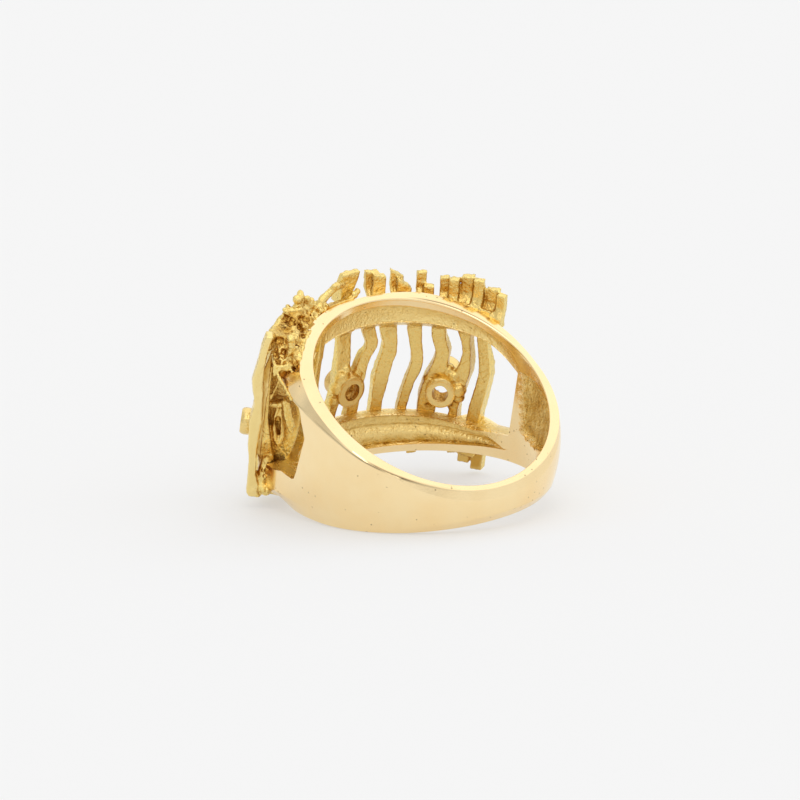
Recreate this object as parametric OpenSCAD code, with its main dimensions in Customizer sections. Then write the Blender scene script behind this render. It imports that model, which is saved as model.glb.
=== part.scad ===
// Gold dress ring with an openwork bark head, lying on its side.
// The ring is drawn with its finger axis upright and its head towards +X,
// then turned so that the head faces -Y and laid down as it rests.

/* [Finger hole] */
// Inside diameter
finger_d = 18; // [17:0.25:19]

/* [Shank] */
// Half of the width at the back
back_half_w = 1.6; // [1.2:0.1:2.4]
// Half of the width at the sides
side_half_w = 4.5; // [4.2:0.1:5]
// Half of the width at the front of the head
head_half_w = 7.1; // [6.8:0.1:7.4]
// Wall at the middle of the back
back_wall = 0.9; // [0.8:0.05:1.4]
// How far the outside of the shank is centred towards the head
shank_shift = 0.6; // [0.4:0.05:1.2]
// Radius of the shank's convex outside, across its width
shank_crown_r = 10.5; // [9:0.5:30]
// Flat of the rim at the back
rim_flat = 0.5; // [0.4:0.05:0.8]
// Half of the width between the bevels' lower edges, at the sides
crease_half_w = 3.85; // [3.4:0.05:4.2]

/* [Shoulders] */
// Where the shoulders end, from the finger axis
shoulder_x = 6.2; // [5:0.1:7]
// Half of the ring across the ends of the shoulders
shoulder_y = 9.9; // [9.6:0.05:10.3]
// Depth of the hollow inside each shoulder
hollow_depth = 0.5; // [0.3:0.1:0.7]

/* [Head] */
// Wall of the two rails
rail_wall = 1.2; // [0.9:0.1:1.5]
// Width of the polished lip along each rim
lip_w = 0.5; // [0.3:0.1:0.8]
// Depth of the channel inside the rails
channel_depth = 0.35; // [0.2:0.05:0.5]
// Radius of the flat dome over the bars, seen along the finger axis
dome_r = 16.5; // [16:0.1:20]
// Height of that dome over the finger axis
dome_top = 12.3; // [11:0.1:12.5]
// Radius of the dome across the width of the head
dome_side_r = 36; // [24:1:60]
// Height at which the dome stands out most
dome_mid_z = -2; // [-3:0.5:0]

/* [Collets] */
// Outside diameter at the finger side
collet_d = 2.2; // [1.8:0.1:2.6]
// Outside diameter at the open end
collet_mouth_d = 2.7; // [2.2:0.1:3.2]
// Bore
collet_bore_d = 1.2; // [0.8:0.1:1.4]
// Diameter of the seat at the open end
collet_seat_d = 2; // [1.4:0.1:2.2]
// Depth of the seat
collet_seat_depth = 0.7; // [0.4:0.1:1.2]

/* [Rest] */
// Tilt that lifts the head on its bar ends
rest_tilt = 20.3; // [0:0.01:30]
// Sideways tilt
rest_roll = -5.59; // [-15:0.01:15]
// Height of the finger axis' middle over the surface
rest_lift = 5.29; // [0:0.01:12]
// Shift to the side that brings the ring's middle over the origin
rest_x = -0.46; // [-5:0.01:5]
// Shift backwards that brings the ring's middle over the origin
rest_y = 1.73; // [-5:0.01:5]

/* [Hidden] */
$fn = 96;
gold = [0.93, 0.76, 0.38];
finger_r = finger_d / 2;
far = 40;
eps = 0.01;

// Outside of the shank, and of the rails
shank_r = finger_r + back_wall + shank_shift;
rail_r = finger_r + rail_wall;
channel_r = finger_r + channel_depth;

// The rims slope: the half width grows from the back, over the sides, to the head
back_x = -finger_r - rim_flat;
head_x = finger_r;
head_slope = (head_half_w - side_half_w) / head_x;
back_slope = (back_half_w - side_half_w) / back_x;

// The bevels' lower edges slope a little less than the rims
crease_r = 10.1;
crease_shift = 0.6;
crease_back_slope = 0.22;
crease_head_slope = 0.3;

// The channel inside the rails starts narrower, and reaches its full width further towards the head
channel_x = 2.2;
channel_full_x = 3.4;
channel_taper = 0.6;

// Window through the head, as seen from the side: distance from the finger axis, then the lower and
// the upper edge. The right side ends square, the left side in a point.
right_window = [
    // x, low, high
    [0.95, -2.1, 3.0],
    [4.1, -3.2, 4.2],
    [7.0, -3.5, 4.55],
    [15, -3.6, 4.7]
];
left_window = [
    [1.4, 2.1, 2.3],
    [2.3, -1.9, 2.6],
    [3.1, -2.6, 2.9],
    [5.1, -2.7, 3.7],
    [7.4, -3.2, 4.6],
    [15, -3.6, 4.7]
];

// Hollow inside each shoulder, as seen from the side: distance from the finger axis, lower edge, upper edge
shoulder_hollow = [
    // x, low, high
    [-5.2, 1.3, 2.2],
    [-4.6, -0.5, 2.9],
    [-2.3, -1.65, 3.4],
    [-0.1, -1.6, 3.6],
    [0.35, 0.5, 3.4]
];

// Bark bars, from the right end of the head to the left. The knee and the two ends lie that far to the left
// of the bar's own angle. Inner and outer are the radii between which the bar's middle lies.
bars = [
    // angle, width, knee, top end, bottom end, bottom, top, inner, outer
    [-61, 1.0, -0.4, 0, 0, -8.4, 7.6, 10.1, 11.8],
    [-51.5, 1.0, -0.4, 0.1, 0, -7.2, 8.3, 10.1, 12],
    [-41, 0.95, -0.45, 0, 0, -7.2, 8.1, 10.1, 12],
    [-29, 0.9, -0.5, -0.3, 0.2, -7.3, 8.2, 10.1, 11.4],
    [-17, 0.95, -0.45, -0.6, 0.2, -7.1, 8.5, 10.1, 11],
    [-7, 0.8, -0.5, -0.5, 0.3, -7.1, 9.1, 10.1, 10.9],
    [8.5, 1.15, -0.1, -1.4, 0, -7.1, 9.7, 10.1, 10.9],
    [30, 1.0, 0.2, -1.9, 0, -7.2, 8.6, 10.1, 11.6],
    [41, 1.1, 0.35, -1.1, 0, -7.2, 9, 11.2, 12.3],
    [51, 1.1, 0.35, -0.4, 0, -6.9, 7.8, 11.6, 12.8],
    [61, 1.2, 0.3, -0.2, 0, -5.6, 6.4, 11.5, 12.7]
];
bar_angle = 0;
bar_w = 1;
bar_knee = 2;
bar_top_shift = 3;
bar_bottom_shift = 4;
bar_bottom = 5;
bar_top = 6;
bar_inner = 7;
bar_outer = 8;
knee_z = 2.2;
// The bars' ends are wider, and stand deeper on the rails
end_w = 1.7;
end_step = 0.55;
end_depth = 0.3;
end_inner_r = rail_r - 0.1;
low_end_z = -4.4;
high_end_z = 5.2;

// Collets, from right to left
collets = [
    // angle, height, outer end
    [-44, -1.6, 13.7],
    [-1, -1.2, 11.7],
    [50, -0.5, 13.8]
];
collet_angle = 0;
collet_z = 1;
collet_end = 2;
collet_inner_r = finger_r + 0.4;
mouth_bevel = 0.1;

// Bark chips
chips = [
    // angle, height, radius, size, turn
    [13, 7.5, 10.7, 1.3, -20],
    [55, 6.2, 11.3, 1.5, 20],
    [60, 5.2, 11, 1.2, -15],
    [46, 7.4, 11.2, 1.4, 35],
    [-35, -7.2, 10.7, 1, 10],
    [65, -4.6, 11.4, 1.2, 25]
];
chip_angle = 0;
chip_z = 1;
chip_r = 2;
chip_size = 3;
chip_turn = 4;
chip_thin = 0.8;

// Half of the band's width at distance x along the head's direction
function half_w(x) = side_half_w + x * (x > 0 ? head_slope : back_slope);

// Outline of a table of x, low, high rows, going once around
function side_outline(rows) = concat(
    [for (row = rows) [row[0], row[1]]],
    [for (i = [len(rows) - 1 : -1 : 0]) [rows[i][0], rows[i][2]]]
);

// Extrudes an outline of x and z along y, from y1 to y2
module across(y1, y2) {
    translate([0, y2, 0])
        rotate([90, 0, 0])
            linear_extrude(y2 - y1)
                children();
}

// Places a piece on the head at an angle and height, with its own X pointing outwards
module on_head(angle, z) {
    rotate([0, 0, angle])
        translate([0, 0, z])
            children();
}

// The band seen along the finger axis, without its bore
module band_plan() {
    intersection() {
        translate([shank_shift, 0])
            circle(shank_r);
        translate([-far + shoulder_x, -far / 2])
            square([far, far]);
    }
    polygon([
        [shank_shift, -shank_r],
        [shoulder_x, -shoulder_y],
        [shoulder_x, shoulder_y],
        [shank_shift, shank_r]
    ]);
    circle(rail_r);
}

// The band seen from the side: narrow at the back, wide at the head
module band_side() {
    polygon([
        [-far, -half_w(-far)],
        [-far, half_w(-far)],
        [back_x, back_half_w],
        [0, side_half_w],
        [far, half_w(far)],
        [far, -half_w(far)],
        [0, -side_half_w],
        [back_x, -back_half_w]
    ]);
}

// Cone that bevels the outer edge of the upper rim
module bevel_cone(slope) {
    below = 20;
    above = 6;
    translate([0, 0, crease_half_w])
        rotate([0, -atan(slope), 0])
            translate([crease_shift, 0, -below])
                cylinder(
                    h = below + above,
                    r1 = crease_r + below,
                    r2 = crease_r - above
                );
}

// The bevel slopes more on the head's side than at the back
module rim_bevel() {
    intersection() {
        bevel_cone(crease_head_slope);
        translate([0, -far, -far])
            cube([far, 2 * far, 2 * far]);
    }
    intersection() {
        bevel_cone(crease_back_slope);
        translate([-far, -far, -far])
            cube([far, 2 * far, 2 * far]);
    }
}

// Half of the outline of the shank's convex outside, across its width
module crown_half() {
    intersection() {
        translate([shank_r - shank_crown_r, 0])
            circle(shank_crown_r);
        translate([0, -far / 4])
            square([far, far / 2]);
    }
}

// Convex outside: round the back, then straight on along the shoulders
module shank_crown() {
    translate([shank_shift, 0, 0]) {
        rotate_extrude()
            crown_half();
        rotate([90, 0, 90])
            linear_extrude(far) {
                crown_half();
                mirror([1, 0])
                    crown_half();
            }
    }
}

module shank_and_rails() {
    intersection() {
        translate([0, 0, -far / 2])
            linear_extrude(far)
                band_plan();
        across(-far / 2, far / 2)
            band_side();
        shank_crown();
        rim_bevel();
        mirror([0, 0, 1])
            rim_bevel();
    }
}

module windows() {
    across(-far / 2, eps)
        polygon(side_outline(right_window));
    across(0, far / 2)
        polygon(side_outline(left_window));
}

// Shallow channel inside the rails, which leaves a lip along each rim
module rail_channel() {
    intersection() {
        cylinder(h = far, r = channel_r, center = true);
        across(-far / 2, far / 2)
            polygon([
                [channel_x, -half_w(channel_x) + lip_w + channel_taper],
                [channel_full_x, -half_w(channel_full_x) + lip_w],
                [far, -half_w(far) + lip_w],
                [far, half_w(far) - lip_w],
                [channel_full_x, half_w(channel_full_x) - lip_w],
                [channel_x, half_w(channel_x) - lip_w - channel_taper]
            ]);
    }
}

// Rough hollows inside the shoulders
module shoulder_hollows() {
    intersection() {
        cylinder(h = far, r = finger_r + hollow_depth, center = true);
        across(-far / 2, far / 2)
            polygon(side_outline(shoulder_hollow));
    }
}

// Extrudes an outline of the head's own width and height outwards, between two radii
module outwards(angle, r1, r2) {
    on_head(angle, 0)
        translate([r1, 0, 0])
            rotate([90, 0, 90])
                linear_extrude(r2 - r1)
                    children();
}

// Middle of one bent bar, between the rails
module bar_middle(row) {
    half = row[bar_w] / 2;
    knee = row[bar_knee];
    outwards(row[bar_angle], row[bar_inner], row[bar_outer])
        polygon([
            [half, high_end_z + end_step],
            [knee + half, knee_z],
            [half, low_end_z - end_step],
            [-half, low_end_z - end_step],
            [knee - half, knee_z],
            [-half, high_end_z + end_step]
        ]);
}

// One end of a bar, from z1 on the rail to z2 past the rim: its left half stands past its right half
module bar_end(row, shift, z1, z2) {
    half = end_w / 2;
    step = z2 > z1 ? end_step : -end_step;
    outwards(row[bar_angle], end_inner_r, row[bar_outer] + end_depth)
        polygon([
            [shift + half, z1],
            [shift + half, z2],
            [shift, z2],
            [shift, z2 - step],
            [shift - half, z2 - step],
            [shift - half, z1]
        ]);
}

module bar(row) {
    bar_middle(row);
    bar_end(row, row[bar_top_shift], high_end_z, row[bar_top]);
    bar_end(row, row[bar_bottom_shift], low_end_z, row[bar_bottom]);
}

// Flat dome that the outsides of the bars follow
module dome() {
    translate([dome_top - dome_r, 0, dome_mid_z])
        rotate_extrude()
            intersection() {
                translate([dome_r - dome_side_r, 0])
                    circle(dome_side_r);
                translate([0, -far / 2])
                    square([far, far]);
            }
}

module bars() {
    intersection() {
        union() {
            for (row = bars)
                bar(row);
        }
        dome();
    }
}

module collet_body(row) {
    on_head(row[collet_angle], row[collet_z])
        translate([collet_inner_r, 0, 0])
            rotate([0, 90, 0])
                cylinder(
                    h = row[collet_end] - collet_inner_r,
                    d1 = collet_d,
                    d2 = collet_mouth_d
                );
}

// Bore, then the seat at the open end: a sloping floor, a straight wall and a bevelled mouth
module collet_bore(row) {
    bore_r = collet_bore_d / 2;
    seat_r = collet_seat_d / 2;
    floor_z = row[collet_end] - collet_seat_depth;
    mouth_z = row[collet_end] - mouth_bevel;
    past_mouth = 1;
    on_head(row[collet_angle], row[collet_z])
        rotate([0, 90, 0])
            rotate_extrude()
                polygon([
                    [0, 0],
                    [bore_r, 0],
                    [bore_r, floor_z - (seat_r - bore_r)],
                    [seat_r, floor_z],
                    [seat_r, mouth_z],
                    [seat_r + past_mouth, mouth_z + past_mouth],
                    [0, mouth_z + past_mouth]
                ]);
}

module chip(row) {
    size = row[chip_size];
    turn = row[chip_turn];
    on_head(row[chip_angle], row[chip_z])
        translate([row[chip_r], 0, 0])
            rotate([turn, turn, 0])
                cube([size, size * chip_thin, size], center = true);
}

// Everything as one soldered piece, upright, head towards +X
module upright_ring() {
    difference() {
        union() {
            difference() {
                shank_and_rails();
                windows();
                rail_channel();
                shoulder_hollows();
            }
            bars();
            for (row = chips)
                chip(row);
            for (row = collets)
                collet_body(row);
        }
        cylinder(h = far, d = finger_d, center = true);
        for (row = collets)
            collet_bore(row);
    }
}

module ring() {
    color(gold)
        translate([rest_x, rest_y, rest_lift])
            rotate([-rest_tilt, -rest_roll, 0])
                rotate([0, 0, -90])
                    upright_ring();
}

ring();
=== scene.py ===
# Gold dress ring with an openwork bark head, lying on its side.
# The pieces are drawn in millimetres in the ring's own frame: x points to the head, y to its left side and
# z along the finger axis. An angle on the ring is in degrees, from the head towards the left side.
# ringToWorld then lays them down as the CAD ring lies, in metres.
import math
import random

import bmesh
import bpy
import numpy as np
from mathutils import Matrix, Vector, noise
from mathutils.bvhtree import BVHTree


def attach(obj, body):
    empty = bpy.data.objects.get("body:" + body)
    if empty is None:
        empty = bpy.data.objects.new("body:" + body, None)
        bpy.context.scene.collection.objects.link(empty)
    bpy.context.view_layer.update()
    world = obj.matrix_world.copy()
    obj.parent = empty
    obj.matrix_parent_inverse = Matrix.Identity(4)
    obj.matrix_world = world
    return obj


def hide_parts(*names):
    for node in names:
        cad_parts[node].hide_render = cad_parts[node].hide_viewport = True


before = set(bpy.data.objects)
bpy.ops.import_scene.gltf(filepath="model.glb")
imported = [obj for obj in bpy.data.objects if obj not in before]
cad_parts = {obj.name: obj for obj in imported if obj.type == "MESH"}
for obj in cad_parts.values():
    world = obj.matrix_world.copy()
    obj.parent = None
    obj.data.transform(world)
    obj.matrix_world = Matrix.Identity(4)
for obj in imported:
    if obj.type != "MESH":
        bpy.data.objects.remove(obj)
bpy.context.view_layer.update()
print("frame loaded:", sorted(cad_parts))

millimetre = 0.001
lying = {
    "tilt": 20.3,  # degrees, lifts the head
    "roll": -5.59,
    "holeCentre": (-0.46, 1.73, 5.29)  # mm
}
lyingTurn = (
    Matrix.Rotation(math.radians(-lying["roll"]), 4, "Y")
    @ Matrix.Rotation(math.radians(-lying["tilt"]), 4, "X")
    @ Matrix.Rotation(math.radians(-90), 4, "Z")
)
holeCentre = Vector(lying["holeCentre"]) * millimetre
ringToWorld = Matrix.Translation(holeCentre) @ lyingTurn @ Matrix.Scale(millimetre, 4)


# small helpers

seedSpread = (1, 0.7, -1)  # how far a seed moves the grain along each axis


def smoothStep(value, low, high):
    t = np.clip((value - low) / (high - low), 0.0, 1.0)
    return t * t * (3 - 2 * t)


def along(rows, value, column=1):
    return float(np.interp(value, [row[0] for row in rows], [row[column] for row in rows]))


def polar(angle, r, z):
    a = math.radians(angle)
    return Vector((r * math.cos(a), r * math.sin(a), z))


def grain(point, size, seed):
    return noise.noise(Vector(point) / size + Vector([seed * share for share in seedSpread]))


def lumpy(point, lumps):
    return sum(depth * grain(point, size, seed) for depth, size, seed in lumps)


def addPiece(name, mesh, material, sharpAngle=None):
    mesh.transform(ringToWorld)
    piece = bpy.data.objects.new(name, mesh)
    bpy.context.scene.collection.objects.link(piece)
    mesh.materials.append(material)
    mesh.shade_smooth()
    if sharpAngle:
        mesh.set_sharp_from_angle(angle=math.radians(sharpAngle))
    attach(piece, "root")
    return piece


# materials

def newGroup(name, inputs, outputs):
    group = bpy.data.node_groups.new(name, "ShaderNodeTree")
    for label, value in inputs:
        socket = group.interface.new_socket(label, in_out="INPUT", socket_type="NodeSocketFloat")
        socket.default_value = value
    for label in outputs:
        group.interface.new_socket(label, in_out="OUTPUT", socket_type="NodeSocketFloat")
    start = group.nodes.new("NodeGroupInput")
    end = group.nodes.new("NodeGroupOutput")
    return group, start, end


def mathNode(tree, operation, first, second=None, third=None):
    node = tree.nodes.new("ShaderNodeMath")
    node.operation = operation
    for socket, value in zip(node.inputs, (first, second, third)):
        if value is None:
            continue
        if isinstance(value, (int, float)):
            socket.default_value = value
        else:
            tree.links.new(value, socket)
    return node.outputs[0]


def noiseNode(tree, place, scale, detail, rough):
    node = tree.nodes.new("ShaderNodeTexNoise")
    node.inputs["Detail"].default_value = detail
    node.inputs["Roughness"].default_value = rough
    tree.links.new(place, node.inputs["Vector"])
    if isinstance(scale, (int, float)):
        node.inputs["Scale"].default_value = scale
    else:
        tree.links.new(scale, node.inputs["Scale"])
    return node.outputs["Fac"]


def stretchNode(tree, factors):
    place = tree.nodes.new("ShaderNodeTexCoord")
    mapping = tree.nodes.new("ShaderNodeMapping")
    mapping.inputs["Scale"].default_value = factors
    tree.links.new(place.outputs["Object"], mapping.inputs["Vector"])
    return mapping.outputs["Vector"]


surfaceDetail = {
    "plain": (1, 1, 1),
    "rough": 0.55,
    "lumpDetail": 4.0,
    "lumpRough": 0.6,
    "dentScale": 1.7,  # dents for each lump of the cast grain
    "dentEdge": 0.6,
    "dentBlend": 0.2,
    "scratchAcross": (1, 14, 5),
    "scratchAlong": (11, 1, 7),
    "scratchDetail": 2.0,
    "scratchFrom": 0.62,
    "scratchBlend": 0.05,
    "cloudSize": 260.0,
    "smudgeDetail": 4.0,
    "smudgeSpread": (3.0, -1.0),
    "pitEdge": (0.16, 0.08),
    "pitCloudDetail": 2.0,
    "pitCloudFrom": 0.44
}


def cellNode(tree, place, scale):
    cells = tree.nodes.new("ShaderNodeTexVoronoi")
    tree.links.new(place, cells.inputs["Vector"])
    tree.links.new(scale, cells.inputs["Scale"])
    return cells


def rangeNode(tree, value, low, high):
    # 0 to 1, smooth, as the value goes from low to high
    node = tree.nodes.new("ShaderNodeMapRange")
    node.interpolation_type = "SMOOTHSTEP"
    tree.links.new(value, node.inputs["Value"])
    node.inputs["From Min"].default_value = low
    node.inputs["From Max"].default_value = high
    return node.outputs["Result"]


def makeCastGrain():
    group, start, end = newGroup(
        "castGrain", [("Size", 2500.0), ("Depth", 1.0), ("Pits", 0.3)], ["Height"]
    )
    detail = surfaceDetail
    size = start.outputs["Size"]
    place = stretchNode(group, detail["plain"])
    lumps = noiseNode(group, place, size, detail["lumpDetail"], detail["lumpRough"])
    cells = cellNode(group, place, mathNode(group, "MULTIPLY", size, detail["dentScale"]))
    distance = cells.outputs["Distance"]
    dents = mathNode(group, "SMOOTH_MIN", distance, detail["dentEdge"], detail["dentBlend"])
    dents = mathNode(group, "SUBTRACT", 1.0, dents)
    pitted = mathNode(group, "MULTIPLY", dents, start.outputs["Pits"])
    height = mathNode(group, "SUBTRACT", lumps, pitted)
    group.links.new(mathNode(group, "MULTIPLY", height, start.outputs["Depth"]), end.inputs["Height"])
    return group


def makeFineScratches():
    group, start, end = newGroup("fineScratches", [("Size", 900.0), ("Amount", 0.5)], ["Height", "Dull"])
    detail = surfaceDetail
    size, amount = start.outputs["Size"], start.outputs["Amount"]
    across, other = (
        noiseNode(group, stretchNode(group, detail[way]), size, detail["scratchDetail"], detail["rough"])
        for way in ("scratchAcross", "scratchAlong")
    )
    lines = mathNode(group, "MAXIMUM", across, other)
    thin = mathNode(group, "SUBTRACT", lines, detail["scratchFrom"])
    thin = mathNode(group, "SMOOTH_MIN", thin, 0.0, detail["scratchBlend"])
    group.links.new(mathNode(group, "MULTIPLY", thin, amount), end.inputs["Height"])
    place = stretchNode(group, detail["plain"])
    cloud = noiseNode(group, place, detail["cloudSize"], detail["smudgeDetail"], detail["rough"])
    cloud = mathNode(group, "MULTIPLY_ADD", cloud, *detail["smudgeSpread"])
    group.links.new(mathNode(group, "MULTIPLY", cloud, amount), end.inputs["Dull"])
    return group


def makeSparsePits():
    # small pinholes left by the casting, a few in each cluster
    group, start, end = newGroup("sparsePits", [("Size", 1500.0), ("Share", 0.1)], ["Mask"])
    detail = surfaceDetail
    place = stretchNode(group, detail["plain"])
    cells = cellNode(group, place, start.outputs["Size"])
    near = rangeNode(group, cells.outputs["Distance"], *detail["pitEdge"])
    cloud = noiseNode(group, place, detail["cloudSize"], detail["pitCloudDetail"], detail["rough"])
    chosen = group.nodes.new("ShaderNodeSeparateColor")
    group.links.new(cells.outputs["Color"], chosen.inputs["Color"])
    limit = mathNode(group, "SUBTRACT", cloud, detail["pitCloudFrom"])
    limit = mathNode(group, "MULTIPLY", start.outputs["Share"], limit)
    kept = mathNode(group, "LESS_THAN", chosen.outputs["Red"], limit)
    group.links.new(mathNode(group, "MULTIPLY", near, kept), end.inputs["Mask"])
    return group


castGrain = makeCastGrain()
fineScratches = makeFineScratches()
sparsePits = makeSparsePits()


def useGroup(tree, group, values):
    node = tree.nodes.new("ShaderNodeGroup")
    node.node_tree = group
    for label, value in values.items():
        node.inputs[label].default_value = value
    return node


def mixColour(tree, factor, first, second):
    node = tree.nodes.new("ShaderNodeMix")
    node.data_type = "RGBA"
    tree.links.new(factor, node.inputs["Factor"])
    for label, value in (("A", first), ("B", second)):
        socket = [s for s in node.inputs if s.name == label and s.type == "RGBA"][0]
        if isinstance(value, tuple):
            socket.default_value = (*value, 1)
        else:
            tree.links.new(value, socket)
    return [s for s in node.outputs if s.type == "RGBA"][0]


def attributeNode(tree, name):
    node = tree.nodes.new("ShaderNodeAttribute")
    node.attribute_name = name
    return node.outputs["Fac"]


def makeGold(name, look):
    material = bpy.data.materials.new(name)
    material.use_nodes = True
    tree = material.node_tree
    shader = tree.nodes["Principled BSDF"]
    shader.inputs["Metallic"].default_value = 1.0
    roughness, hollow, line = (attributeNode(tree, label) for label in ("castRough", "hollow", "paintedShadeLine"))
    grainValues = {"Size": look["grainSize"], "Depth": look["grainDepth"], "Pits": look["pits"]}
    cast = useGroup(tree, castGrain, grainValues).outputs["Height"]
    fine = useGroup(tree, fineScratches, {"Size": look["scratchSize"], "Amount": look["scratches"]})
    dull, scratches = fine.outputs["Dull"], fine.outputs["Height"]
    pits = useGroup(tree, sparsePits, {"Size": look["pitSize"], "Share": look["pitShare"]}).outputs["Mask"]
    pitted = mathNode(tree, "MULTIPLY", pits, look["pitTone"])
    darkest = mathNode(tree, "MAXIMUM", line, pitted)
    colour = look["colour"]
    # hollow mixes in the deep colour: painted shade, plus each collet's own tone; the dark lines are painted
    # shade too
    for amount, share, nextColour in (
        (dull, "cloud", "warm"), (roughness, "castTone", "cast"), (hollow, "hollowTone", "deep"),
        (darkest, "lineTone", "line")
    ):
        colour = mixColour(tree, mathNode(tree, "MULTIPLY", amount, look[share]), colour, look[nextColour])
    tree.links.new(colour, shader.inputs["Base Color"])
    smudged = mathNode(tree, "MULTIPLY_ADD", dull, look["dull"], look["gloss"])
    total = mathNode(tree, "MULTIPLY_ADD", roughness, look["castRoughness"], smudged)
    tree.links.new(total, shader.inputs["Roughness"])
    height = mathNode(tree, "MULTIPLY", cast, roughness)
    for detail, share in ((cast, "cleanGrain"), (scratches, "scratchDepth")):
        height = mathNode(tree, "ADD", height, mathNode(tree, "MULTIPLY", detail, look[share]))
    height = mathNode(tree, "SUBTRACT", height, pits)
    bump = tree.nodes.new("ShaderNodeBump")
    bump.inputs["Strength"].default_value = look["bump"]
    bump.inputs["Distance"].default_value = look["bumpDistance"]
    tree.links.new(height, bump.inputs["Height"])
    tree.links.new(bump.outputs["Normal"], shader.inputs["Normal"])
    return material


polishedLook = {
    "colour": (1.0, 0.80, 0.46),
    "warm": (0.98, 0.71, 0.35),
    "cast": (0.95, 0.74, 0.30),
    # deep: colour of the painted shade
    "deep": (0.62, 0.38, 0.07),
    "grainSize": 3000.0,
    "grainDepth": 1.0,
    "pits": 0.35,
    "scratchSize": 700.0,
    "scratches": 0.6,
    "cloud": 0.8,
    "castTone": 0.9,
    "hollowTone": 0.9,
    "line": (0.13, 0.075, 0.03),
    "lineTone": 1.0,
    "pitSize": 2400.0,
    "pitShare": 2.4,
    "pitTone": 0.45,
    "gloss": 0.14,
    "dull": 0.12,
    "castRoughness": 0.12,
    "cleanGrain": 0.01,
    "scratchDepth": 0.05,
    "bump": 0.9,
    "bumpDistance": 0.00018
}
polishedGold = makeGold("polishedGold", polishedLook)
barkLook = dict(
    polishedLook,
    colour=(0.95, 0.77, 0.38),
    warm=(0.91, 0.69, 0.26),
    cast=(0.93, 0.71, 0.24),
    deep=(0.55, 0.29, 0.04),
    line=(0.26, 0.17, 0.08),
    pitShare=0.0,
    castRoughness=0.08,
    grainSize=2400.0
)
barkGold = makeGold("barkGold", barkLook)
print("materials ready")


# band: shank, shoulders and rails in one skin

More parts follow.
